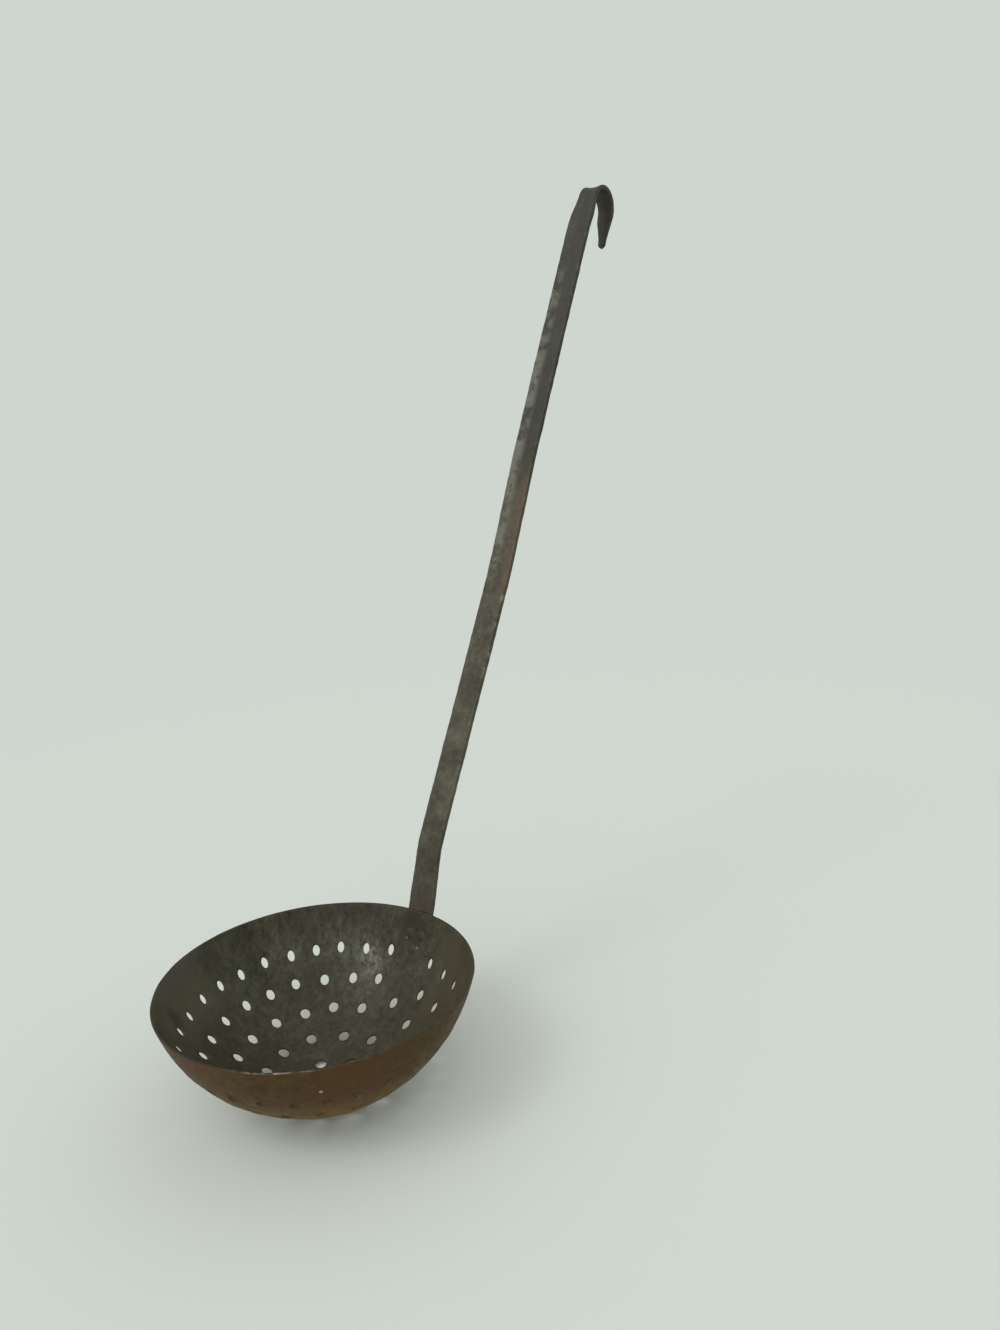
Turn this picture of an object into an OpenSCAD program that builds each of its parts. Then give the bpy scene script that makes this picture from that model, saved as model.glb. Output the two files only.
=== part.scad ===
// Sieve ladle: a pierced sheet-iron bowl, riveted to a forged flat-bar handle that ends in a hook.
// The underside of the bowl stands on the origin with the bowl's axis along +Z, and the handle
// leans back from the rim along +Y. Sizes are in millimetres.

/* [Bowl] */
// Diameter across the rim
rim_d = 160; // [150:1:170]
// Height from the underside to the rim
bowl_h = 62.4; // [58:0.2:66]
// Thickness of the sheet
sheet = 1.2; // [0.8:0.1:2]

/* [Piercing] */
// Diameter of the round punch
hole_d = 6; // [4:0.1:6.4]
// How much of its width a hole at the rim would lose, as the punched sheet was drawn in while it was raised
drawn_in = 0.6; // [0.1:0.05:0.7]
// Number of rings of holes round the middle one, each ring with six holes more than the last
rings = 5; // [3:1:5]
// Distance from ring to ring along the outside of the sheet
ring_step = 16.8; // [15:0.1:17]
// How far the punch strays from its mark on a hand-pierced bowl
stray = 0.5; // [0:0.1:0.8]
// How far the first hole below the handle's tang is moved up to close the gap there
first_hole_up = 6.8; // [0:0.2:8]

/* [Handle] */
// Width of the flat bar
bar_w = 15.6; // [13:0.1:17]
// Thickness of the bar
bar_t = 2.8; // [2:0.1:3.4]
// How far the bar's long edges are worn down
worn = 0.4; // [0.2:0.1:0.8]
// Length of the neck above the rim
neck_len = 29.9; // [20:0.1:40]
// Lean of the neck from upright
neck_lean = 18.9; // [15:0.1:24]
// Length of the lower shaft
lower_len = 147.9; // [120:0.1:160]
// Lean of the lower shaft
lower_lean = 30; // [27:0.1:33]
// Length of the waist, where the shaft is a little straighter
waist_len = 62.5; // [40:0.1:80]
// Lean of the waist
waist_lean = 26.4; // [24:0.1:26.8]
// Length of the upper shaft
upper_len = 142; // [120:0.5:160]
// Lean of the upper shaft
upper_lean = 28.3; // [27.5:0.1:31]
// Length of the tapered lead into the hook
lead_len = 16; // [12:0.5:22]
// Lean of the lead
lead_lean = 34.8; // [32:0.1:38]

/* [Hook] */
// Inner radius of the hook, which takes the rail that the ladle hangs on
hook_r = 9.5; // [8:0.1:12]
// Angle through which the hook turns
hook_turn = 164; // [150:1:170]
// Length of the return limb
limb_len = 21; // [16:0.5:26]
// Width of the bar where the hook starts
hook_w = 12.6; // [12:0.1:14]
// Width of the bar where the return limb starts
limb_w = 10.5; // [9:0.1:12]
// Width of the rounded tip
tip_w = 5; // [4:0.1:8]
// Thickness of the tip
tip_t = 1.9; // [1.5:0.1:2]

/* [Tang and rivets] */
// Length of the tang down the outside of the bowl
tang_len = 39; // [32:1:40]
// Width of the tang's rounded end
tang_w = 17; // [15:0.5:19]
// Diameter of a rivet's shank
rivet_d = 3.6; // [3:0.1:4]
// Diameter of the heads
head_d = 6.8; // [6:0.1:7.6]
// Height of the low head inside the bowl
inner_head_h = 0.7; // [0.5:0.1:1.2]
// Height of the peened head on the tang
outer_head_h = 1.5; // [1:0.1:2]
// Distance between the two upper rivets
rivet_gauge = 8.4; // [7.8:0.1:9]
// Depth of the two upper rivets below the rim, along the wall
upper_rivets_down = 13.5; // [9:0.5:14]
// Depth of the lower rivet below the rim, along the wall
lower_rivet_down = 22; // [20:0.5:26]

/* [Hidden] */

$fn = 96;
iron = "#3e3a30";
rusty_iron = "#54402c";
worn_iron = "#6a6656";

// The bowl is a cap of a ball that stands on the origin
ball_r = (rim_d * rim_d / 4 + bowl_h * bowl_h) / (2 * bowl_h);
rim_angle = acos((ball_r - bowl_h) / ball_r);
rim_lean = 90 - rim_angle;
mm_to_deg = 180 / (PI * ball_r);
past = 5; // overshoot of a cutter past the face that it cuts
block = 800; // side of a block that is larger than the part

// Bends and straight runs of the shaft: radius of the bend at the front face, lean, length
SHAFT = [
    [25, neck_lean, neck_len],
    [50, lower_lean, lower_len],
    [250, waist_lean, waist_len],
    [160, upper_lean, upper_len],
    [120, lead_lean, 0],
];
crown_r = hook_r + bar_t;
limb_inset = 0.1; // the limb's sides start this far inside the crown's

// A block large enough to cut away all that lies above, or below, the plane Z = 0
module upper_half() translate([-block / 2, -block / 2, 0]) cube(block);
module lower_half() mirror([0, 0, 1]) upper_half();

// Puts its children on the ball's radius at an angle up from the bottom and a turn from the handle,
// with the sheet's outside at -ball_r along Z
module on_ball(up, turn = 0) translate([0, 0, ball_r]) rotate([up, 0, turn]) children();

function down_from_rim(along) = rim_angle - along * mm_to_deg;

// Whether a hole on the handle's line would lie under the tang or break through beside its end
function is_covered(ring, i) =
    i == 0 && (rim_angle - ring * ring_step * mm_to_deg) / mm_to_deg < tang_len + hole_d;

function is_first_clear(ring, i) = i == 0 && !is_covered(ring, i) && is_covered(ring + 1, i);

// A hole of the round punch, its sides drawn in across the wall's slope as it stands further up
module punched_hole(up) {
    width = hole_d * (1 - drawn_in * pow(up / rim_angle, 2));
    translate([0, 0, -ball_r - past]) linear_extrude(sheet + 2 * past) intersection() {
        circle(d = hole_d);
        translate([hole_d - width / 2, 0]) circle(hole_d);
        translate([width / 2 - hole_d, 0]) circle(hole_d);
    }
}

module holes() {
    translate([0, 0, -past]) cylinder(d = hole_d, h = sheet + 2 * past);
    for (ring = [1 : rings], i = [0 : 6 * ring - 1]) if (!is_covered(ring, i)) {
        raise = is_first_clear(ring, i) ? first_hole_up : 0;
        up = (ring * ring_step + raise + stray * sin(137 * i + 71 * ring)) * mm_to_deg;
        aside = stray * sin(89 * i + 113 * ring) * mm_to_deg / sin(up);
        on_ball(up, 60 / ring * i + aside) punched_hole(up);
    }
}

module bowl_shell() {
    difference() {
        translate([0, 0, ball_r]) sphere(ball_r, $fn = 180);
        translate([0, 0, ball_r]) sphere(ball_r - sheet, $fn = 180);
        translate([0, 0, bowl_h]) upper_half();
    }
}

// A place on the wall below the rim, given by its depth along the wall and its distance aside
module at_rivet(down, aside) {
    up = down_from_rim(down);
    on_ball(up, -asin(aside / (ball_r * sin(up)))) children();
}

module each_rivet() {
    for (side = [-1, 1]) at_rivet(upper_rivets_down, side * rivet_gauge / 2) children();
    at_rivet(lower_rivet_down, 0) children();
}

module rivet_bores() {
    each_rivet() translate([0, 0, -ball_r - bar_t - past])
        cylinder(d = rivet_d, h = sheet + bar_t + 2 * past, $fn = 48);
}

module bowl() {
    color(rusty_iron) difference() {
        bowl_shell();
        holes();
        rivet_bores();
    }
}

// A low dome on a flat base at the origin, bulging along +Z
module dome(d, h) {
    r = (d * d / 4 + h * h) / (2 * h);
    intersection() {
        translate([0, 0, h - r]) sphere(r, $fn = 96);
        translate([0, 0, -past]) cylinder(d = d, h = h + 2 * past, $fn = 48);
    }
}

// A rivet on the ball's radius. Both heads seat on the curved faces that they clamp.
module rivet(down, aside) {
    seat_in = ball_r - sheet;
    seat_out = ball_r + bar_t;
    color(worn_iron) at_rivet(down, aside) {
        intersection() {
            translate([0, 0, -seat_in]) dome(head_d, inner_head_h);
            sphere(seat_in, $fn = 180);
        }
        difference() {
            translate([0, 0, -seat_out]) mirror([0, 0, 1]) dome(head_d, outer_head_h);
            sphere(seat_out, $fn = 180);
        }
        intersection() {
            translate([0, 0, -seat_out - past]) cylinder(d = rivet_d, h = bar_t + sheet + 2 * past, $fn = 48);
            difference() {
                sphere(seat_out, $fn = 180);
                sphere(seat_in, $fn = 180);
            }
        }
    }
}

module rivet_left() rivet(upper_rivets_down, -rivet_gauge / 2);
module rivet_right() rivet(upper_rivets_down, rivet_gauge / 2);
module rivet_lower() rivet(lower_rivet_down, 0);

// The bar's section, with its front face on the X axis and its edges worn to narrow flats
module bar_section() {
    side = bar_w / 2;
    inset = side - worn;
    polygon([
        [-inset, 0], [inset, 0], [side, worn], [side, bar_t - worn],
        [inset, bar_t], [-inset, bar_t], [-side, bar_t - worn], [-side, worn],
    ]);
}

module run(length) linear_extrude(length) bar_section();

// A bend in the bar: back, away from the front face, where the turn is positive
module bend(r, turn) {
    side = sign(turn);
    translate([0, side * r, 0]) intersection() {
        rotate([0, 90, 0]) rotate_extrude($fn = 360) translate([r, 0]) rotate(90 * side) bar_section();
        upper_half();
        rotate([-turn, 0, 0]) lower_half();
    }
}

// The place at the end of a bend
module after_bend(r, turn) {
    side = sign(turn);
    translate([0, side * r, 0]) rotate([-turn, 0, 0]) translate([0, -side * r, 0]) children();
}

function turn_into(i) = SHAFT[i][1] - (i == 0 ? rim_lean : SHAFT[i - 1][1]);

// The shaft from its bend i upwards, and its children where the last run ends
module shaft(i = 0) {
    r = SHAFT[i][0];
    turn = turn_into(i);
    length = SHAFT[i][2];
    bend(r, turn);
    after_bend(r, turn) {
        if (length > 0) run(length);
        translate([0, 0, length])
            if (i < len(SHAFT) - 1) shaft(i + 1) children();
            else children();
    }
}

// The last run, drawn down in width towards the hook
module lead() {
    intersection() {
        run(lead_len);
        rotate([90, 0, 0]) linear_extrude(4 * bar_t, center = true)
            polygon([[-bar_w / 2, 0], [bar_w / 2, 0], [hook_w / 2, lead_len], [-hook_w / 2, lead_len]]);
    }
}

// The return limb: a flat tongue, thinned on its outer face and rounded at the tip
module limb() {
    shoulder = limb_len - tip_w / 2;
    intersection() {
        rotate([90, 0, 0]) linear_extrude(4 * bar_t, center = true) {
            polygon([[-limb_w / 2, 0], [limb_w / 2, 0], [tip_w / 2, shoulder], [-tip_w / 2, shoulder]]);
            translate([0, shoulder]) circle(d = tip_w, $fn = 48);
        }
        rotate([90, 0, 90]) linear_extrude(2 * bar_w, center = true)
            polygon([[0, 0], [bar_t, 0], [bar_t, limb_len], [bar_t - tip_t, limb_len]]);
    }
}

// The hook: the bar turned back on itself round a rail, narrowing all the way to its tip
module hook() {
    reach = crown_r * (1 - cos(hook_turn));
    end = limb_w / 2 + limb_inset;
    lead();
    translate([0, 0, lead_len]) {
        intersection() {
            bend(crown_r, hook_turn);
            linear_extrude(4 * crown_r, center = true) polygon([
                [-hook_w / 2, -past], [hook_w / 2, -past], [hook_w / 2, bar_t],
                [end, reach], [-end, reach], [-hook_w / 2, bar_t],
            ]);
        }
        after_bend(crown_r, hook_turn) limb();
    }
}

// The place on the rim where the tang ends and the shaft begins
module at_rim() translate([0, rim_d / 2, bowl_h]) rotate([-rim_lean, 0, 0]) children();

// The tongue that lies on the outside of the bowl, bent to the ball, with a wide rounded end
module tang() {
    outer_r = ball_r + bar_t;
    half = ball_r * sin(tang_len / 2 * mm_to_deg);
    end = tang_w / 2 - half;
    intersection() {
        translate([0, 0, ball_r]) difference() {
            sphere(outer_r, $fn = 180);
            sphere(ball_r, $fn = 180);
        }
        on_ball(down_from_rim(tang_len / 2)) translate([0, 0, -outer_r - past]) linear_extrude(outer_r / 2) {
            polygon([[-tang_w / 2, end], [tang_w / 2, end], [bar_w / 2, half], [bar_w / 2, half + past],
                     [-bar_w / 2, half + past], [-bar_w / 2, half]]);
            translate([0, end]) circle(d = tang_w);
        }
        at_rim() lower_half();
    }
}

module handle() {
    color(iron) difference() {
        union() {
            tang();
            at_rim() shaft() hook();
        }
        rivet_bores();
    }
}

bowl();
handle();
rivet_left();
rivet_right();
rivet_lower();
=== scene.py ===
# Sieve ladle: a pierced sheet-iron bowl on a long forged handle that ends in a hook.
import math

import bpy
from mathutils import Matrix, Vector, noise
from mathutils.geometry import delaunay_2d_cdt


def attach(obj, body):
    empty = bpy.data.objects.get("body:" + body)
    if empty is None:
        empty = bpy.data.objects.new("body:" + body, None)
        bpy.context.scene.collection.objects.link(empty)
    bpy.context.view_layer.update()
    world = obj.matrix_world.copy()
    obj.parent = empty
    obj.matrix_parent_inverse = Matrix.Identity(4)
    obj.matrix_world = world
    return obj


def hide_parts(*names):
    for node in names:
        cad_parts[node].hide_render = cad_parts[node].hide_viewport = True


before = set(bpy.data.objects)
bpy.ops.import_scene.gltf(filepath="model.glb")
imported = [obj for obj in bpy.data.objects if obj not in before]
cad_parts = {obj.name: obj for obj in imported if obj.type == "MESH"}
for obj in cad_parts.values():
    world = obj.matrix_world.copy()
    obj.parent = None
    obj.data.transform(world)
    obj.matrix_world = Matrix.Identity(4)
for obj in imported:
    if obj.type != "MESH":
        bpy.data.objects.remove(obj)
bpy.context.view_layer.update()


# The camera stands where the photograph was taken from: in front of the bowl, to its right and
# a little above it. Its place, in metres, comes from the rim, the rings of holes and the handle's
# outline.
camera_data = bpy.data.cameras.new("camera")
camera_data.lens = 29.23
camera = bpy.data.objects.new("camera", camera_data)
camera_place = Vector((0.3798, -0.3240, 0.3398))
camera_right = Vector((0.8003, 0.5959, -0.0666))
camera_up = Vector((-0.0949, 0.2356, 0.9672))
camera_back = Vector((0.5920, -0.7678, 0.2451))
camera_turn = Matrix((camera_right, camera_up, camera_back)).transposed().to_4x4()
camera.matrix_world = Matrix.Translation(camera_place) @ camera_turn
bpy.context.scene.collection.objects.link(camera)
bpy.context.scene.camera = camera


# The floor is a pale, matt sheet that runs far out under a sky of its own colour, so that every
# view has the same plain ground behind it. Sizes from here on are in millimetres.
MM = 0.001
SHARP_ANGLE = 0.9     # faces that meet at more than this, in radians, meet in an edge


def from_screen(red, green, blue):
    """A colour read off a screen, 0 to 255, as the linear colour that a shader takes."""
    def linear(value):
        value /= 255
        return value / 12.92 if value <= 0.04045 else ((value + 0.055) / 1.055) ** 2.4
    return (linear(red), linear(green), linear(blue), 1.0)


def new_piece(name, verts, faces, materials, face_materials=None):
    """A smooth-shaded mesh object, from vertices in millimetres."""
    mesh = bpy.data.meshes.new(name)
    mesh.from_pydata([[c * MM for c in v] for v in verts], [], faces)
    mesh.polygons.foreach_set("use_smooth", [True] * len(mesh.polygons))
    for material in materials:
        mesh.materials.append(material)
    if face_materials:
        mesh.polygons.foreach_set("material_index", face_materials)
    mesh.set_sharp_from_angle(angle=SHARP_ANGLE)
    piece = bpy.data.objects.new(name, mesh)
    bpy.context.scene.collection.objects.link(piece)
    return piece


def add(tree, kind, inputs=None, **settings):
    """A new shader node, with its settings, and its inputs set to values or linked to sockets."""
    made = tree.nodes.new(kind)
    for name, value in settings.items():
        setattr(made, name, value)
    for name, value in (inputs or {}).items():
        if isinstance(value, bpy.types.NodeSocket):
            tree.links.new(value, made.inputs[name])
        else:
            made.inputs[name].default_value = value
    return made


def new_material(name):
    """A material, its node tree, and the socket that gives the place on the surface in metres."""
    material = bpy.data.materials.new(name)
    material.use_nodes = True
    tree = material.node_tree
    return material, tree, add(tree, "ShaderNodeTexCoord").outputs["Object"]


def math_node(tree, operation, *values):
    """One step of arithmetic on sockets and numbers."""
    return add(tree, "ShaderNodeMath", dict(enumerate(values)), operation=operation).outputs[0]


def soft_step(tree, value, start, end, top=1.0):
    """A mask that goes softly from 0, where the value is at the start, to its top at the end."""
    return add(tree, "ShaderNodeMapRange", {
        "Value": value, "From Min": start, "From Max": end, "To Max": top},
        interpolation_type="SMOOTHSTEP").outputs[0]


def seen_rays(tree):
    """1 for the rays that the eye sees, straight or in metal or through glass."""
    rays = add(tree, "ShaderNodeLightPath").outputs
    seen = math_node(tree, "MAXIMUM", rays["Is Camera Ray"], rays["Is Glossy Ray"])
    return math_node(tree, "MAXIMUM", seen, rays["Is Transmission Ray"])


def add_plain(tree, kind, share, shader, output):
    """Shows a share of the floor's plain colour in place of a shader."""
    plain = add(tree, kind, {"Color": FLOOR_COLOUR, "Strength": 1.0})
    shown = add(tree, "ShaderNodeMixShader", {
        0: share, 1: shader.outputs[0], 2: plain.outputs[0]})
    tree.links.new(shown.outputs[0], tree.nodes[output].inputs["Surface"])


FLOOR_COLOUR = from_screen(207, 214, 207)
FLOOR_MIDDLE = 150    # the floor's rings lie round a place under the handle, this far back
FLOOR_SIDES = 96
FLOOR_RINGS = (60, 150, 300, 500, 750, 1100, 1800, 3000, 6000)
floor_verts = [(0, FLOOR_MIDDLE, 0)]
floor_faces = []
for ring, radius in enumerate(FLOOR_RINGS):
    first = 1 + ring * FLOOR_SIDES
    for side in range(FLOOR_SIDES):
        a = math.tau * side / FLOOR_SIDES
        floor_verts.append((radius * math.cos(a), FLOOR_MIDDLE + radius * math.sin(a), 0))
        here, beside = first + side, first + (side + 1) % FLOOR_SIDES
        if ring == 0:
            floor_faces.append((0, here, beside))
        else:
            floor_faces.append((here - FLOOR_SIDES, here, beside, beside - FLOOR_SIDES))

floor_paint, tree, spot = new_material("floor paint")
floor_shader = tree.nodes["Principled BSDF"]
floor_shader.inputs["Base Color"].default_value = FLOOR_COLOUR
floor_shader.inputs["Roughness"].default_value = 0.9
floor_shader.inputs["Specular IOR Level"].default_value = 0.1
# Out of reach of the ladle's shadow, the floor shows its plain colour to the eye. Nearer, it shows
# a little of it, as a thin pale sheet does, but not where the bowl touches down.
from_middle = add(tree, "ShaderNodeVectorMath", {
    0: spot, 1: (0, FLOOR_MIDDLE * MM, 0)}, operation="DISTANCE").outputs["Value"]
from_foot = add(tree, "ShaderNodeVectorMath", {0: spot}, operation="LENGTH").outputs["Value"]
plain_far = soft_step(tree, from_middle, 300 * MM, 900 * MM, top=0.85)
plain_near = soft_step(tree, from_foot, 15 * MM, 80 * MM, top=0.15)
plain_share = math_node(tree, "ADD", plain_far, plain_near)
plain_share = math_node(tree, "MULTIPLY", seen_rays(tree), plain_share)
add_plain(tree, "ShaderNodeEmission", plain_share, floor_shader, "Material Output")
floor = new_piece("floor", floor_verts, floor_faces, [floor_paint])


# The light is two soft lamps in front of the ladle, a small one up on the left that casts the shadow
# and a wide one that fills it, and an even white sky. Together they light a colour at about the
# level at which it is written.
# Each lamp's name, the way to it, its strength, and how wide it looks in radians
LAMPS = (("key light", (-0.2, -0.6, 0.77), 0.5, 0.42), ("front light", (0.05, -0.8, 0.6), 0.85, 1.6))
for name, way, strength, spread in LAMPS:
    lamp = bpy.data.lights.new(name, "SUN")
    lamp.energy = strength
    lamp.angle = spread
    lamp.color = (1.0, 0.98, 1.03)
    lamp_piece = bpy.data.objects.new(name, lamp)
    lamp_piece.rotation_euler = (-Vector(way)).to_track_quat("-Z", "Y").to_euler()
    bpy.context.scene.collection.objects.link(lamp_piece)
sky = bpy.data.worlds.new("sky")
bpy.context.scene.world = sky
sky.use_nodes = True
tree = sky.node_tree
sky_shader = tree.nodes["Background"]
sky_shader.inputs["Color"].default_value = (0.99, 1, 0.96, 1)
sky_shader.inputs["Strength"].default_value = 0.745
add_plain(tree, "ShaderNodeBackground", seen_rays(tree), sky_shader, "World Output")
bpy.context.scene.view_settings.view_transform = "Standard"


# The bowl is one disc of sheet iron, raised to a cap of a ball and cut off flat at the rim. Its
# holes are punched by hand from the inside in rings, each with six holes more than the last, so
# they have sunk edges inside and raised lips outside.
RIM_RADIUS = 80
BOWL_HEIGHT = 62.4
SHEET = 1.2
BALL = (RIM_RADIUS ** 2 + BOWL_HEIGHT ** 2) / (2 * BOWL_HEIGHT)
RIM_ANGLE = math.acos((BALL - BOWL_HEIGHT) / BALL)
TANG_LENGTH = 39
# The holes: the rings lie a step apart along the ball's curve, and raising the wall has drawn the
# holes in. One whose next place up is under the tang sits higher than its ring.
HOLE_RADIUS = 3.0
HOLE_RINGS = 5
RING_STEP = 16.8
STRAY = 0.5
DRAWN_IN = 0.6        # how much narrower than it is long a hole at the rim would be
FIRST_HOLE_UP = 6.8
# The hand work: how far the sheet is moved, in slow swells, by the hammer and by the punch, and
# how much the holes differ in size and in outline, as a share of their radius
SWELL = 0.45
HAMMERED = 0.22
RAISED_LIP = 0.14
SUNK_LIP = 0.26
LIP_CURVE = 1.6       # how fast a lip falls away from its hole
HOLES_DIFFER = 0.035
RAGGED = 0.045
# The rim: how far it is rounded down and in, and how far the inner skin comes down to be level
ROUND_DOWN = 0.22
ROUND_IN = 0.24
LEVEL_DOWN = 0.29
# The mesh: rings of points at these distances from each hole and from the rim, and a grid between
HOLE_SIDES = 22
LIP_RINGS = (0, 0.3, 0.75, 1.4, 2.3)
RIM_POINTS = 300
RIM_RINGS = (0, 0.45, 1.1, 2.2, 4.2)
GRID = 3.4
GRID_ROW = 0.87 * GRID                # rows of nearly even triangles


def smoothstep(start, end, value):
    """A number that goes softly from 0 at the start to 1 at the end."""
    t = min(1.0, max(0.0, (value - start) / (end - start)))
    return t * t * (3 - 2 * t)


def on_ball(up, turn):
    """The outward direction on the ball at an angle up from the bottom and a turn from the handle."""
    return Vector((-math.sin(up) * math.sin(turn), math.sin(up) * math.cos(turn), -math.cos(up)))


def sine_of_degrees(angle):
    return math.sin(math.radians(angle))


def is_covered(ring, i):
    """Whether the tang covers the place of a hole."""
    return i == 0 and RIM_ANGLE * BALL - ring * RING_STEP < TANG_LENGTH + 2 * HOLE_RADIUS


hole_centres = [on_ball(0, 0)]
hole_slopes = [Vector((0, 1, 0))]     # the way up the wall at each hole
hole_widths = [1.0]                   # each hole's width, as a share of its length up the wall
for ring in range(1, HOLE_RINGS + 1):
    for i in range(6 * ring):
        if is_covered(ring, i):
            continue
        raised = FIRST_HOLE_UP if is_covered(ring + 1, i) else 0
        up = (ring * RING_STEP + raised + STRAY * sine_of_degrees(137 * i + 71 * ring)) / BALL
        aside = STRAY * sine_of_degrees(89 * i + 113 * ring) / BALL / math.sin(up)
        turn = math.tau * i / (6 * ring) + aside
        hole_centres.append(on_ball(up, turn))
        hole_slopes.append(on_ball(up + math.pi / 2, turn))
        hole_widths.append(1 - DRAWN_IN * (up / RIM_ANGLE) ** 2)

bowl_ways = []        # outward direction of each point of the sheet
bowl_lips = []        # how near each point is to a hole's edge, 1 at the edge
bowl_rims = []        # how near each point is to the rim, 1 at the rim
bowl_flat = []        # each point's place in the flat disc that the sheet was raised from
bowl_edges = []       # pairs of points that the mesh has to join


def add_bowl_point(way, lip, rim):
    up = math.acos(max(-1, min(1, -way.z)))
    across = math.hypot(way.x, way.y) or 1
    bowl_ways.append(way)
    bowl_lips.append(lip)
    bowl_rims.append(rim)
    bowl_flat.append(Vector((way.x, way.y)) / across * up * BALL)
    return len(bowl_ways) - 1


def join_round(loop):
    bowl_edges.extend((point, loop[(k + 1) % len(loop)]) for k, point in enumerate(loop))


hole_loops = []
hole_of_point = {}
for h, (centre, slope, width) in enumerate(zip(hole_centres, hole_slopes, hole_widths)):
    side = centre.cross(slope)
    size = HOLE_RADIUS * (1 + HOLES_DIFFER * noise.noise(Vector((h * 3.1, 0.5, 0.5))))
    for out in LIP_RINGS:
        loop = []
        for k in range(HOLE_SIDES):
            a = math.tau * k / HOLE_SIDES
            ragged = 1 + RAGGED * noise.noise(Vector((math.cos(a), math.sin(a), h * 2.7)))
            across = side * math.cos(a) * (size * ragged * width + out)
            upward = slope * math.sin(a) * (size * ragged + out)
            shift = (across + upward) / BALL
            way = (centre + shift * math.tan(shift.length) / shift.length).normalized()
            loop.append(add_bowl_point(way, 1 - smoothstep(0, LIP_RINGS[-1], out), 0))
        join_round(loop)
        if out == 0:
            hole_loops.append(loop)
            hole_of_point.update((point, h) for point in loop)
for down in RIM_RINGS:
    up = RIM_ANGLE - down / BALL
    loop = [add_bowl_point(on_ball(up, math.tau * k / RIM_POINTS), 0, 1 - down / RIM_RINGS[-1])
            for k in range(RIM_POINTS)]
    join_round(loop)
    if down == 0:
        rim_loop = loop

grid_reach = RIM_ANGLE * BALL - RIM_RINGS[-1] - GRID * 0.6
clear_of_hole = HOLE_RADIUS + LIP_RINGS[-1] + GRID * 0.45
row = 0
v = -grid_reach
while v < grid_reach:
    u = -grid_reach + (GRID / 2 if row % 2 else 0)
    while u < grid_reach:
        arc = math.hypot(u, v)
        way = on_ball(arc / BALL, math.atan2(-u, v))
        if arc < grid_reach and all(way.angle(centre) * BALL > clear_of_hole for centre in hole_centres):
            add_bowl_point(way, 0, 0)
        u += GRID
    v += GRID_ROW
    row += 1

# The flat disc is cut into triangles, and those that lie wholly inside one hole fall out
cut = delaunay_2d_cdt(bowl_flat, bowl_edges, [], 0, 1e-6, True)
cut_triangles, cut_points = cut[2:4]
bowl_triangles = []
for triangle in cut_triangles:
    corners = [cut_points[c][0] for c in triangle]
    holes_met = {hole_of_point.get(c) for c in corners}
    if len(holes_met) > 1 or None in holes_met:
        bowl_triangles.append(corners)


def bowl_warp(way):
    """How far the hand-raised sheet lies off the true ball."""
    slow = noise.noise(Vector((way.x * 1.6 + 4.2, way.y * 1.6, way.z * 1.6)))
    hammer = noise.noise(Vector((way.x * 7 + 1.3, way.y * 7, way.z * 7 + 2)))
    return SWELL * slow + HAMMERED * hammer


bowl_verts = []
for radius, lip_height in ((BALL, RAISED_LIP), (BALL - SHEET, SUNK_LIP)):
    for way, lip, rim in zip(bowl_ways, bowl_lips, bowl_rims):
        place = way * (radius + bowl_warp(way) + lip_height * lip ** LIP_CURVE) + Vector((0, 0, BALL))
        if radius < BALL:
            place.z -= LEVEL_DOWN * rim
        place.z -= ROUND_DOWN * smoothstep(0.8, 1, rim)
        bowl_verts.append(place)
skin = len(bowl_ways)
INSIDE, OUTSIDE, EDGE = range(3)      # the bowl's materials
bowl_faces, bowl_face_materials = [], []
for a, b, c in bowl_triangles:
    outward = (bowl_ways[b] - bowl_ways[a]).cross(bowl_ways[c] - bowl_ways[a]).dot(bowl_ways[a]) > 0
    if not outward:
        b, c = c, b
    bowl_faces += [(a, b, c), (a + skin, c + skin, b + skin)]
    bowl_face_materials += [OUTSIDE, INSIDE]
for loop in hole_loops:
    for k in range(HOLE_SIDES):
        a, b = loop[k], loop[(k + 1) % HOLE_SIDES]
        bowl_faces.append((b, a, a + skin, b + skin))
        bowl_face_materials.append(EDGE)
rim_top = []
for inward in (ROUND_IN, SHEET - ROUND_IN):
    first = len(bowl_verts)
    for point in rim_loop:
        way = bowl_ways[point]
        out = Vector((way.x, way.y, 0)).normalized()
        place = bowl_verts[point] - out * inward
        bowl_verts.append(Vector((place.x, place.y, bowl_verts[point].z + ROUND_DOWN)))
    rim_top.append([first + k for k in range(RIM_POINTS)])
inner_loop = [point + skin for point in rim_loop]
for low, high in ((rim_loop, rim_top[0]), (rim_top[0], rim_top[1]), (rim_top[1], inner_loop)):
    for k in range(RIM_POINTS):
        after = (k + 1) % RIM_POINTS
        bowl_faces.append((low[k], low[after], high[after], high[k]))
        bowl_face_materials.append(EDGE)


def new_group(name, inputs, outputs):
    """A shader node group with named inputs and outputs, with its input and its output node."""
    group = bpy.data.node_groups.new(name, "ShaderNodeTree")
    for socket_name, kind, value in inputs:
        socket = group.interface.new_socket(socket_name, in_out="INPUT", socket_type=kind)
        if value is not None:
            socket.default_value = value
    for socket_name, kind in outputs:
        group.interface.new_socket(socket_name, in_out="OUTPUT", socket_type=kind)
    return group, group.nodes.new("NodeGroupInput").outputs, group.nodes.new("NodeGroupOutput").inputs


def mix(tree, share, first, second):
    """The colour between two colours."""
    return add(tree, "ShaderNodeMix", {0: share, 6: first, 7: second}, data_type="RGBA").outputs[2]


def noise_node(tree, vector, scale, detail, roughness):
    """Noise over the surface, from 0 to 1."""
    return add(tree, "ShaderNodeTexNoise", {
        "Vector": vector, "Scale": scale, "Detail": detail, "Roughness": roughness}).outputs[0]


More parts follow.
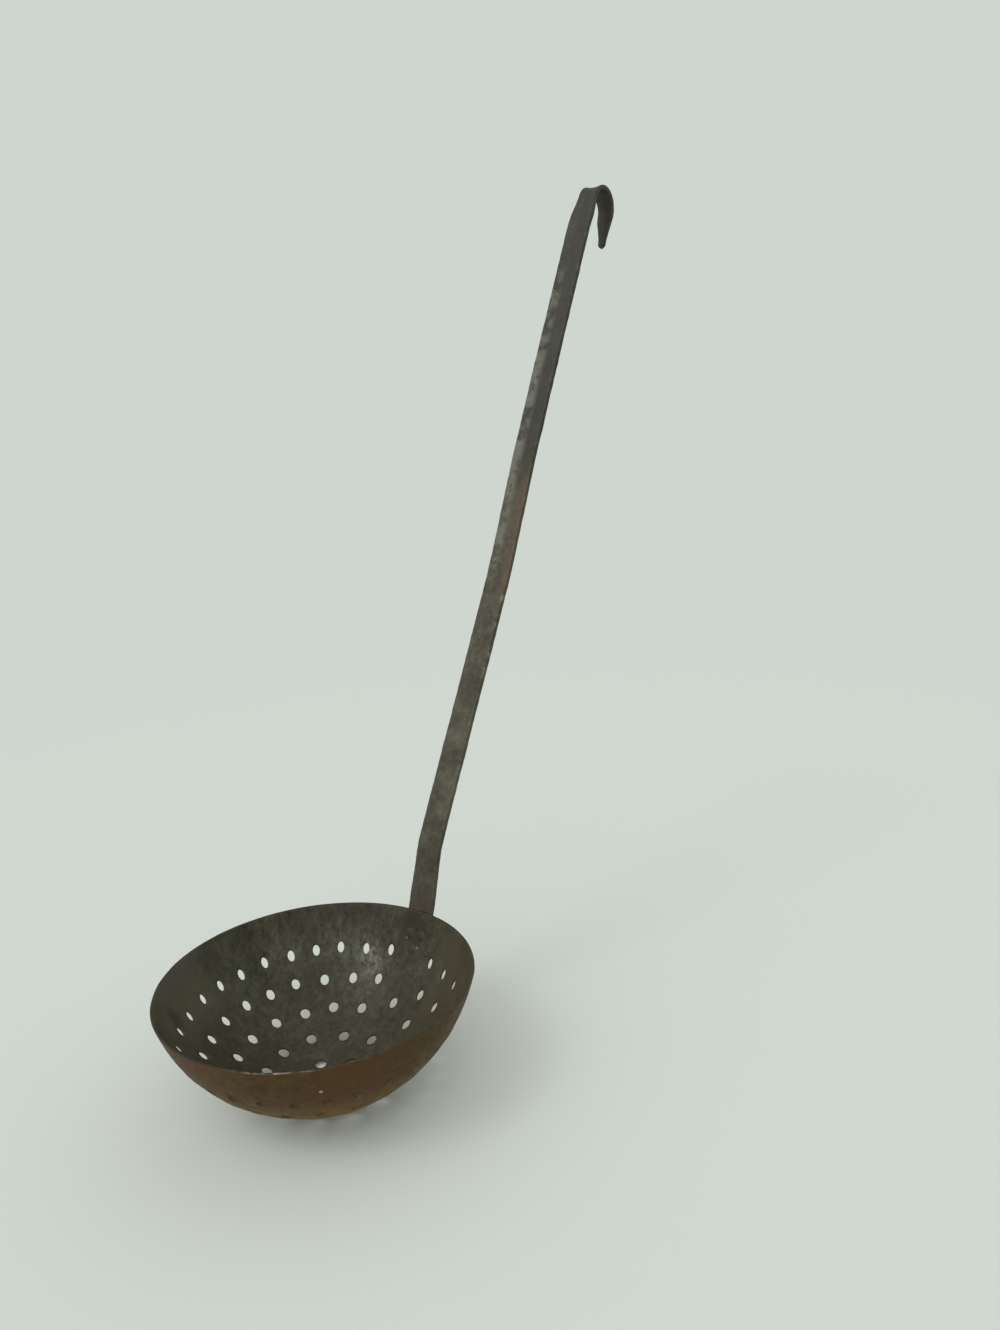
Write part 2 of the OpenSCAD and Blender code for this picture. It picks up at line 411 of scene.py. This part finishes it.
# A mask of soft-edged patches: noise that is cut between two levels
patches, given, result = new_group(
    "patches",
    [("Vector", "NodeSocketVector", None), ("Scale", "NodeSocketFloat", 60.0),
     ("From", "NodeSocketFloat", 0.45), ("To", "NodeSocketFloat", 0.6)],
    [("Mask", "NodeSocketFloat")])
patch_noise = noise_node(patches, given["Vector"], given["Scale"], 5.0, 0.62)
patches.links.new(soft_step(patches, patch_noise, given["From"], given["To"]), result["Mask"])

# Old iron: a dark ground with paler worn patches, a fine mottle, a few dark specks and a grain
old_iron, given, result = new_group(
    "old iron",
    [("Vector", "NodeSocketVector", None), ("Ground", "NodeSocketColor", (0.05, 0.05, 0.04, 1)),
     ("Worn", "NodeSocketColor", (0.1, 0.1, 0.09, 1)), ("Dark", "NodeSocketColor", (0.02, 0.02, 0.01, 1)),
     ("Patch Scale", "NodeSocketFloat", 45.0), ("Mottle Scale", "NodeSocketFloat", 320.0),
     ("Mottle", "NodeSocketFloat", 0.5), ("Specks", "NodeSocketFloat", 0.5)],
    [("Color", "NodeSocketColor"), ("Roughness", "NodeSocketFloat"), ("Height", "NodeSocketFloat")])
worn_noise = noise_node(old_iron, given["Vector"], given["Patch Scale"], 5.0, 0.62)
mottle = noise_node(old_iron, given["Vector"], given["Mottle Scale"], 4.0, 0.7)
speck_scale = math_node(old_iron, "MULTIPLY", given["Mottle Scale"], 1.7)
speck_noise = noise_node(old_iron, given["Vector"], speck_scale, 2.0, 0.5)
speck = math_node(old_iron, "MULTIPLY", soft_step(old_iron, speck_noise, 0.58, 0.72), given["Specks"])
grain = noise_node(old_iron, given["Vector"], 1500.0, 3.0, 0.7)
colour = mix(old_iron, soft_step(old_iron, worn_noise, 0.38, 0.66), given["Ground"], given["Worn"])
colour = mix(old_iron, speck, colour, given["Dark"])
mottle_light = add(old_iron, "ShaderNodeMapRange", {
    "Value": mottle, "From Min": 0.3, "From Max": 0.7, "To Min": -0.5, "To Max": 0.5}).outputs[0]
mottle_light = math_node(old_iron, "MULTIPLY", mottle_light, given["Mottle"])
light = math_node(old_iron, "MULTIPLY_ADD", grain, 0.36, mottle_light)
light = math_node(old_iron, "ADD", light, 0.82)
shaded = add(old_iron, "ShaderNodeVectorMath", {0: colour, "Scale": light}, operation="SCALE")
rough = add(old_iron, "ShaderNodeMapRange", {
    "Value": mottle, "From Min": 0.3, "From Max": 0.7, "To Min": 0.64, "To Max": 0.46})
height = math_node(old_iron, "MULTIPLY", speck, -0.7)
height = math_node(old_iron, "MULTIPLY_ADD", grain, 0.3, height)
height = math_node(old_iron, "MULTIPLY_ADD", mottle, 0.5, height)
old_iron.links.new(shaded.outputs[0], result["Color"])
old_iron.links.new(rough.outputs[0], result["Roughness"])
old_iron.links.new(height, result["Height"])


def patch_mask(tree, vector, scale, low, high):
    return add(tree, "ShaderNodeGroup", {
        "Vector": vector, "Scale": scale, "From": low, "To": high}, node_tree=patches).outputs["Mask"]


def iron_look(tree, vector, ground, worn, dark, patch_scale, mottle_scale, mottle, specks):
    """Old iron in its own screen colours: sockets for its colour, roughness and height."""
    return add(tree, "ShaderNodeGroup", {
        "Vector": vector, "Ground": from_screen(*ground), "Worn": from_screen(*worn),
        "Dark": from_screen(*dark), "Patch Scale": patch_scale, "Mottle Scale": mottle_scale,
        "Mottle": mottle, "Specks": specks}, node_tree=old_iron).outputs


def attribute(tree, name):
    return add(tree, "ShaderNodeAttribute", attribute_name=name).outputs["Fac"]


def tint(tree, colour, mask, strength, screen_colour):
    """Lays a screen colour over a colour where the mask is, at a strength from 0 to 1 or a mask."""
    share = math_node(tree, "MULTIPLY", mask, strength)
    return mix(tree, share, colour, from_screen(*screen_colour))


def fleck(tree, spot, way, radius, size, colour, screen_colour):
    """A small round mark on a colour, on the ball's way out at a radius."""
    middle = (way * radius + Vector((0, 0, BALL))) * MM
    off = add(tree, "ShaderNodeVectorMath", {0: spot, 1: middle}, operation="DISTANCE")
    mask = soft_step(tree, off.outputs["Value"], 1.3 * size * MM, 0.5 * size * MM)
    return mix(tree, mask, colour, from_screen(*screen_colour))


def finish_material(tree, colour, look, depth, metallic, specular):
    """Puts a colour, and the roughness and height of old iron, on the material's shader."""
    shader = tree.nodes["Principled BSDF"]
    tree.links.new(colour, shader.inputs["Base Color"])
    tree.links.new(look["Roughness"], shader.inputs["Roughness"])
    shader.inputs["Metallic"].default_value = metallic
    shader.inputs["Specular IOR Level"].default_value = specular
    bump = add(tree, "ShaderNodeBump", {
        "Height": look["Height"], "Strength": 0.8, "Distance": depth * MM})
    tree.links.new(bump.outputs[0], shader.inputs["Normal"])


# Inside, dark worn iron: brown stretches of wall, painted light that makes the side walls paler, and a
# stain and a scuff by the tang
bowl_inside, tree, spot = new_material("bowl inside")
streaked = add(tree, "ShaderNodeVectorMath", {0: spot, 1: (1, 1, 0.5)}, operation="MULTIPLY").outputs[0]
look = iron_look(tree, streaked, ground=(61, 58, 44), worn=(76, 74, 58), dark=(40, 35, 26),
                 patch_scale=46, mottle_scale=300, mottle=0.85, specks=0.55)
# Painted light: the left and right walls are made paler, as though more light fell on them
colour = tint(tree, look["Color"], attribute(tree, "painted_wall_light"), 0.75, (96, 93, 75))
colour = tint(tree, colour, attribute(tree, "smooth"), 0.7, (78, 71, 53))
colour = tint(tree, colour, attribute(tree, "low"), 0.3, (60, 50, 32))
colour = tint(tree, colour, patch_mask(tree, spot, 38, 0.5, 0.66), attribute(tree, "upper"), (62, 52, 42))
scuffs = patch_mask(tree, streaked, 420, 0.42, 0.62)
colour = tint(tree, colour, scuffs, attribute(tree, "scuff"), (120, 119, 106))
colour = tint(tree, colour, patch_mask(tree, spot, 90, 0.3, 0.5), attribute(tree, "stain"), (48, 42, 31))
# Two painted highlights: small pale glints on the wall beside the rivet heads
for up, turn in ((64.7, 4.2), (61.9, -2.5)):
    glint = on_ball(math.radians(up), math.radians(turn))
    colour = fleck(tree, spot, glint, BALL - SHEET, 0.8, colour, (120, 116, 100))
finish_material(tree, colour, look, depth=0.25, metallic=0.3, specular=0.4)

# Outside, brown rusted iron: reddish patches, an ochre bloom low down, and one small pale fleck
bowl_outside, tree, spot = new_material("bowl outside")
look = iron_look(tree, spot, ground=(67, 50, 20), worn=(79, 60, 26), dark=(44, 33, 15),
                 patch_scale=40, mottle_scale=240, mottle=0.35, specks=0.25)
reddish = patch_mask(tree, spot, 26, 0.44, 0.62)
colour = mix(tree, reddish, look["Color"], from_screen(76, 51, 23))
colour = tint(tree, colour, patch_mask(tree, spot, 60, 0.28, 0.55), attribute(tree, "low"), (108, 85, 32))
pale_fleck = on_ball(math.radians(65.5), math.radians(-133.3))
colour = fleck(tree, spot, pale_fleck, BALL, 0.9, colour, (180, 150, 130))
finish_material(tree, colour, look, depth=0.2, metallic=0.05, specular=0.15)

# The holes' walls are brown, and so is the rim, which is darker, rubbed pale at the front and painted
# there with a highlight
bowl_edge, tree, spot = new_material("bowl edges")
rim_look = iron_look(tree, spot, ground=(56, 49, 37), worn=(66, 59, 45), dark=(38, 32, 23),
                     patch_scale=90, mottle_scale=420, mottle=0.4, specks=0.5)
look = iron_look(tree, spot, ground=(84, 68, 42), worn=(94, 78, 52), dark=(50, 38, 24),
                 patch_scale=90, mottle_scale=420, mottle=0.4, specks=0.3)
colour = mix(tree, attribute(tree, "at_rim"), look["Color"], rim_look["Color"])
# Pale rubs on the front of the rim, which also carry a painted highlight
rubs_and_glints = patch_mask(tree, spot, 150, 0.4, 0.56)
colour = tint(tree, colour, rubs_and_glints, attribute(tree, "rim_rubs_and_glint"), (160, 140, 124))
finish_material(tree, colour, look, depth=0.2, metallic=0.1, specular=0.15)


def off_middle(up, turn, middle_up, middle_turn, reach_up, reach_turn):
    """How far a place is off the middle of an oval mark, 1 at the mark's reach."""
    return math.hypot((up - middle_up) / reach_up, (turn - middle_turn) / reach_turn)


def bowl_marks(up, turn):
    """How strong each mark is at degrees up from the bowl's bottom and round from its handle."""
    stain = off_middle(up, turn, 70, 1.5, 8.5, 7)
    # The scuff by the tang is a long oval that slants down the wall
    along_scuff = (up - 55) * 0.81 + (turn - 21) * 0.58
    off_scuff = (turn - 21) * 0.81 - (up - 55) * 0.58
    scuff = math.hypot(along_scuff / 13, off_scuff / 8)
    far_scuff = off_middle(up, turn, 62, 62, 7, 15)
    at_rim = up > 74
    # The rim's front is rubbed pale, with a painted highlight along it
    rim_rubs_and_glint = 1 - smoothstep(4, 9, abs(turn + 153)) + 0.4 * (1 - smoothstep(5, 14, abs(turn + 142)))
    # Painted light on the left and right walls, which makes them paler
    painted_light_left = 1 - smoothstep(8, 42, abs(turn - 122))
    painted_light_right = 0.6 * (1 - smoothstep(6, 26, abs(turn + 34)))
    return {
        "stain": 0.8 * (1 - smoothstep(0.6, 1.25, stain)),
        "scuff": max(0.75 * (1 - smoothstep(0.2, 1, scuff)), 0.28 * (1 - smoothstep(0.2, 1, far_scuff))),
        "upper": 0.7 * smoothstep(45, 66, up),
        "painted_wall_light": smoothstep(40, 60, up) * max(painted_light_left, painted_light_right),
        "smooth": smoothstep(-8, -40, turn) * smoothstep(0, 25, up),
        "low": 1 - smoothstep(40, 62, up),
        "at_rim": 1 if at_rim else 0,
        "rim_rubs_and_glint": rim_rubs_and_glint if at_rim else 0}


bowl = new_piece("pierced_bowl", bowl_verts, bowl_faces, [bowl_inside, bowl_outside, bowl_edge],
                 bowl_face_materials)
marks_of_verts = []
for place in bowl_verts:
    up = math.degrees(math.acos(max(-1, min(1, (BALL - place.z) / BALL))))
    turn = math.degrees(math.atan2(-place.x, place.y))
    marks_of_verts.append(bowl_marks(up, turn))
for name in marks_of_verts[0]:
    mark = bowl.data.attributes.new(name, "FLOAT", "POINT")
    mark.data.foreach_set("value", [marks[name] for marks in marks_of_verts])
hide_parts("bowl")
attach(bowl, "root")


# The handle is one flat bar of forged iron. Its lower end is spread into a tang that lies on the
# outside of the bowl, the shaft is set in a few slack bends, and its upper end is drawn narrower
# and turned back on itself as a hook.
BAR_WIDTH = 15.6
BAR_THICK = 2.8
TANG_END_WIDTH = 17
HOOK_INSIDE = 9.5     # inner radius
HOOK_TURN = 164       # degrees
HOOK_WIDTH = 12.6
LIMB_WIDTH = 10.5
LIMB_LENGTH = 21
TIP_WIDTH = 5
TIP_THICK = 1.9
CROWN_DISH = 0.9      # how far the crown's section is dished by bending
# The hand work: how far the bar's faces wander in slow waves, by the hammer and by nicks in the
# edges, how deep the nicks cut from the side, and how much the width wanders as a share of itself
WAVE = 0.25
HAMMER_MARK = 0.14
EDGE_NICK = 0.10
SIDE_NICK = 0.12
WIDTH_WANDER = 0.012
# Bends and straight runs from the rim up: radius at the front face, lean after the bend, run
SHAFT = ((25, 18.9, 29.9), (50, 30, 147.9), (250, 26.4, 62.5), (160, 28.3, 142), (120, 34.8, 16))
# The mesh: stations along the bar, and points round its section
STATION = 1.5
CORNER = 0.5
CORNER_STEPS = 3
ACROSS = 12
ALONG_SIDE = 2

bar_places = []       # (distance up from the rim, Y, Z, lean) of the front face's middle


def walk(start, y, z, lean, turn, length, step):
    """Adds stations along a bend or a straight run, and returns where it ends."""
    count = max(1, round(length / step))
    for k in range(1, count + 1):
        d = length * k / count
        angle = lean + turn * k / count
        if abs(turn) < 1e-9:
            back, up = d * math.sin(lean), d * math.cos(lean)
        else:
            r = length / turn
            back, up = r * (math.cos(lean) - math.cos(angle)), r * (math.sin(angle) - math.sin(lean))
        bar_places.append((start + d, y + back, z + up, angle))
    return bar_places[-1]


tang_arc = TANG_LENGTH / BALL
tang_foot = RIM_ANGLE - tang_arc
along, y, z = -TANG_LENGTH, BALL * math.sin(tang_foot), BALL * (1 - math.cos(tang_foot))
lean = math.pi / 2 - tang_foot
bar_places.append((along, y, z, lean))
along, y, z, lean = walk(along, y, z, lean, -tang_arc, TANG_LENGTH, step=1.2)
for radius, lean_after, run in SHAFT:
    turn = math.radians(lean_after) - lean
    along, y, z, lean = walk(along, y, z, lean, turn, radius * abs(turn), step=STATION)
    along, y, z, lean = walk(along, y, z, lean, 0, run, step=STATION)
crown_start = along
crown_arc = math.radians(HOOK_TURN) * (HOOK_INSIDE + BAR_THICK)
along, y, z, lean = walk(along, y, z, lean, math.radians(HOOK_TURN), crown_arc, step=0.9)
limb_start = along
along, y, z, lean = walk(along, y, z, lean, 0, LIMB_LENGTH - TIP_WIDTH / 2, step=1.0)
tip_start = along
along, y, z, lean = walk(along, y, z, lean, 0, TIP_WIDTH / 2, step=0.25)

# The bar's width and thickness at distances up from the rim, as the hammer has left them
WIDTHS = ((-TANG_LENGTH + TANG_END_WIDTH / 2, TANG_END_WIDTH), (-6, BAR_WIDTH + 1.0),
          (4, BAR_WIDTH + 1.2), (30, BAR_WIDTH), (crown_start - 16, BAR_WIDTH), (crown_start, HOOK_WIDTH),
          (crown_start + crown_arc / 2, 12), (limb_start, LIMB_WIDTH), (tip_start, TIP_WIDTH))
THICKNESSES = ((-TANG_LENGTH, 1.5), (-TANG_LENGTH + 10, BAR_THICK), (limb_start, BAR_THICK),
               (tip_start, TIP_THICK), (tip_start + TIP_WIDTH / 2, 1.3))


def between(along, marks):
    """A value read off a list of (distance, value) marks."""
    for (start, first), (end, last) in zip(marks, marks[1:]):
        if along <= end:
            return first + (last - first) * smoothstep(start, end, along)
    return marks[-1][1]


def bar_width(along):
    """The bar's width, with the round ends of the tang and the tip, both a little blunt."""
    end_round = TANG_END_WIDTH / 2
    from_end = along + TANG_LENGTH
    if from_end < end_round:
        return TANG_END_WIDTH * math.sqrt(max(0.02, 1 - (1 - from_end / end_round) ** 2))
    if along > tip_start:
        left = (along - tip_start) / (TIP_WIDTH / 2)
        return TIP_WIDTH * math.sqrt(max(0.06, 1 - left * left))
    return between(along, WIDTHS)


def section(width, thick):
    """Points round the bar's section, (across, back, how near a long edge), with softly worn
    corners. They start at the front face's left corner, and the back half is the front half
    turned about the middle."""
    r = min(CORNER, thick * 0.32, width * 0.2)
    half = [(-width / 2 + r + (width - 2 * r) * (k / ACROSS), 0, 0.0) for k in range(ACROSS)]
    for back, first in ((r, -90), (thick - r, 0)):
        for k in range(CORNER_STEPS + 1):
            a = math.radians(first + 90 * k / CORNER_STEPS)
            half.append((width / 2 - r + r * math.cos(a), back + r * math.sin(a), 1.0))
        if first < 0:
            half += [(width / 2, r + (thick - 2 * r) * k / ALONG_SIDE, 0.8) for k in range(1, ALONG_SIDE)]
    return half + [(-x, thick - back, edge) for x, back, edge in half]


handle_verts, handle_faces = [], []
handle_along, handle_across, handle_edge = [], [], []
for along, y, z, lean in bar_places:
    width, thick = bar_width(along), between(along, THICKNESSES)
    on_wall = 1 - smoothstep(-3, 5, along)
    loose = smoothstep(-2, 8, along)
    in_crown = smoothstep(crown_start - 6, crown_start + 8, along)
    in_crown *= 1 - smoothstep(limb_start - 4, limb_start + 6, along)
    back_way = Vector((0, math.cos(lean), -math.sin(lean)))
    for x, back, edge in section(width, thick):
        share = 2 * x / width
        seat = (BALL - math.sqrt(BALL * BALL - x * x)) * on_wall
        slow = noise.noise(Vector((x * 0.02, along * 0.022, 7.5)))
        hammer = noise.noise(Vector((x * 0.11, along * 0.085, back * 0.2)))
        nick = noise.noise(Vector((x * 0.3, along * 0.28, 3.1 + back * 0.3)))
        swell = HAMMER_MARK * hammer + EDGE_NICK * nick * edge
        push = back - seat - CROWN_DISH * in_crown * (share * share - 0.35)
        push += WAVE * slow * loose + (swell if back > thick / 2 else -swell * loose)
        wander = WIDTH_WANDER * noise.noise(Vector((4.4, along * 0.05, 0)))
        sideways = x * (1 + wander) + SIDE_NICK * nick * edge * share
        handle_verts.append(Vector((sideways, y, z)) + back_way * push)
        handle_along.append(along)
        handle_across.append(share)
        handle_edge.append(edge)
around = len(handle_verts) // len(bar_places)
for ring in range(len(bar_places) - 1):
    for k in range(around):
        a, b = ring * around + k, ring * around + (k + 1) % around
        handle_faces.append((b, b + around, a + around, a))
handle_faces.append(tuple(range(around))[::-1])
handle_faces.append(tuple(len(handle_verts) - around + k for k in range(around)))

# Each rivet, how far it sits down the wall from the rim, and how far aside
RIVETS = (("rivet_left", 13.5, -4.2), ("rivet_right", 13.5, 4.2), ("rivet_lower", 22, 0))


def rivet_way(down, aside):
    up = RIM_ANGLE - down / BALL
    return on_ball(up, -math.asin(aside / (BALL * math.sin(up))))


handle_iron, tree, spot = new_material("handle iron")
along_bar = attribute(tree, "along")
across_bar = attribute(tree, "across")
on_edge = attribute(tree, "edge")


def stretch(first, last, fade):
    """1 between two distances along the bar, fading to 0 beyond them."""
    rise = soft_step(tree, along_bar, first - fade, first)
    return math_node(tree, "MULTIPLY", rise, soft_step(tree, along_bar, last + fade, last))


# Browned at the rim, dark towards the hook, and warm on the right of the middle
look = iron_look(tree, spot, ground=(66, 62, 49), worn=(84, 81, 66), dark=(42, 36, 27),
                 patch_scale=60, mottle_scale=260, mottle=0.5, specks=0.35)
colour = tint(tree, look["Color"], soft_step(tree, along_bar, 30, 4), 0.55, (66, 54, 42))
colour = tint(tree, colour, soft_step(tree, along_bar, 210, 290), 0.85, (53, 53, 43))
warm = math_node(tree, "MULTIPLY", soft_step(tree, across_bar, 0, 0.8), stretch(195, 245, 25))
colour = tint(tree, colour, warm, 0.5, (92, 70, 56))
# Scuffed on the left, most of all along the upper half
scuff_share = math_node(tree, "MULTIPLY_ADD", stretch(215, 372, 35), 0.6, 0.1)
scuffs = patch_mask(tree, spot, 110, 0.38, 0.58)
scuffs = math_node(tree, "MULTIPLY", scuffs, soft_step(tree, across_bar, 0.15, -0.5))
colour = tint(tree, colour, scuffs, scuff_share, (114, 115, 104))
# Rusted round the rivet heads on the tang
for _, down, aside in RIVETS:
    colour = fleck(tree, spot, rivet_way(down, aside), BALL + BAR_THICK, 4.4, colour, (44, 34, 25))
# Rubbed pale on the edges, with painted highlights there, most of all half-way up
rub_and_glint_share = math_node(tree, "MULTIPLY_ADD", stretch(150, 185, 20), 0.7, 0.15)
rubs_and_glints = math_node(tree, "MULTIPLY", patch_mask(tree, spot, 150, 0.5, 0.64), on_edge)
colour = tint(tree, colour, rubs_and_glints, rub_and_glint_share, (122, 120, 106))
finish_material(tree, colour, look, depth=0.4, metallic=0.35, specular=0.4)

handle = new_piece("forged_handle", handle_verts, handle_faces, [handle_iron])
for name, values in (("along", handle_along), ("across", handle_across), ("edge", handle_edge)):
    handle.data.attributes.new(name, "FLOAT", "POINT").data.foreach_set("value", values)
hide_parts("handle")
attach(handle, "root")


# Three iron rivets hold the tang: two side by side under the rim and one below them. Each was set
# hot, with a low, hammered head inside the bowl and a rounder one on the tang.
RIVET_RADIUS = 1.8
HEAD_RADIUS = 3.4
INNER_HEAD = 0.7
OUTER_HEAD = 1.5
BEDDED = 0.12         # how far a head is hammered into the face under it
HEAD_EDGE = 0.15      # how thick a head is at its edge
UNDER_HEAD = 0.97 * HEAD_RADIUS       # how far out its underside reaches
BLOWS = 0.16          # how far the hammer's blows have moved the heads
UNEVEN_HEAD = 0.05    # how uneven their outline is, as a share of its radius
RIVET_SIDES = 40
DOME_STEPS = 8

rivet_iron, tree, spot = new_material("rivet iron")
look = iron_look(tree, spot, ground=(58, 53, 41), worn=(64, 58, 45), dark=(42, 36, 27),
                 patch_scale=240, mottle_scale=500, mottle=0.4, specks=0.3)
finish_material(tree, look["Color"], look, depth=0.15, metallic=0.2, specular=0.35)


def dome_profile(height, seat, sign):
    """(radius, place along the rivet's axis) from the rim of a head to its top."""
    ball = (HEAD_RADIUS ** 2 + height ** 2) / (2 * height)
    widest = math.asin(HEAD_RADIUS / ball)
    points = []
    for k in range(DOME_STEPS + 1):
        a = widest * (1 - k / DOME_STEPS)
        points.append((ball * math.sin(a), seat + sign * (height - ball * (1 - math.cos(a)))))
    return points


for node, down, aside in RIVETS:
    out = rivet_way(down, aside)
    side = out.orthogonal().normalized()
    other = out.cross(side)
    inside, outside = BALL - SHEET + BEDDED, BALL + BAR_THICK - BEDDED
    under_inner, under_outer = inside + HEAD_EDGE, outside - HEAD_EDGE
    profile = dome_profile(INNER_HEAD, inside, -1)[::-1]
    profile += [(UNDER_HEAD, under_inner), (RIVET_RADIUS, under_inner),
                (RIVET_RADIUS, under_outer), (UNDER_HEAD, under_outer)]
    profile += dome_profile(OUTER_HEAD, outside, 1)
    verts, faces = [], []
    for number, (radius, along_axis) in enumerate(profile):
        for k in range(RIVET_SIDES):
            a = math.tau * k / RIVET_SIDES
            blow = BLOWS * noise.noise(Vector((math.cos(a) * radius, math.sin(a) * radius, down + aside)))
            rough = UNEVEN_HEAD * noise.noise(Vector((math.cos(a), math.sin(a), aside + number * 0.02)))
            reach = radius * (1 + rough) if radius > RIVET_RADIUS else radius
            place = out * (along_axis + blow) + (side * math.cos(a) + other * math.sin(a)) * reach
            verts.append(place + Vector((0, 0, BALL)))
    for ring in range(len(profile) - 1):
        for k in range(RIVET_SIDES):
            a, b = ring * RIVET_SIDES + k, ring * RIVET_SIDES + (k + 1) % RIVET_SIDES
            faces.append((a, b, b + RIVET_SIDES, a + RIVET_SIDES))
    rivet = new_piece("set_" + node, verts, faces, [rivet_iron])
    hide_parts(node)
    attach(rivet, "root")
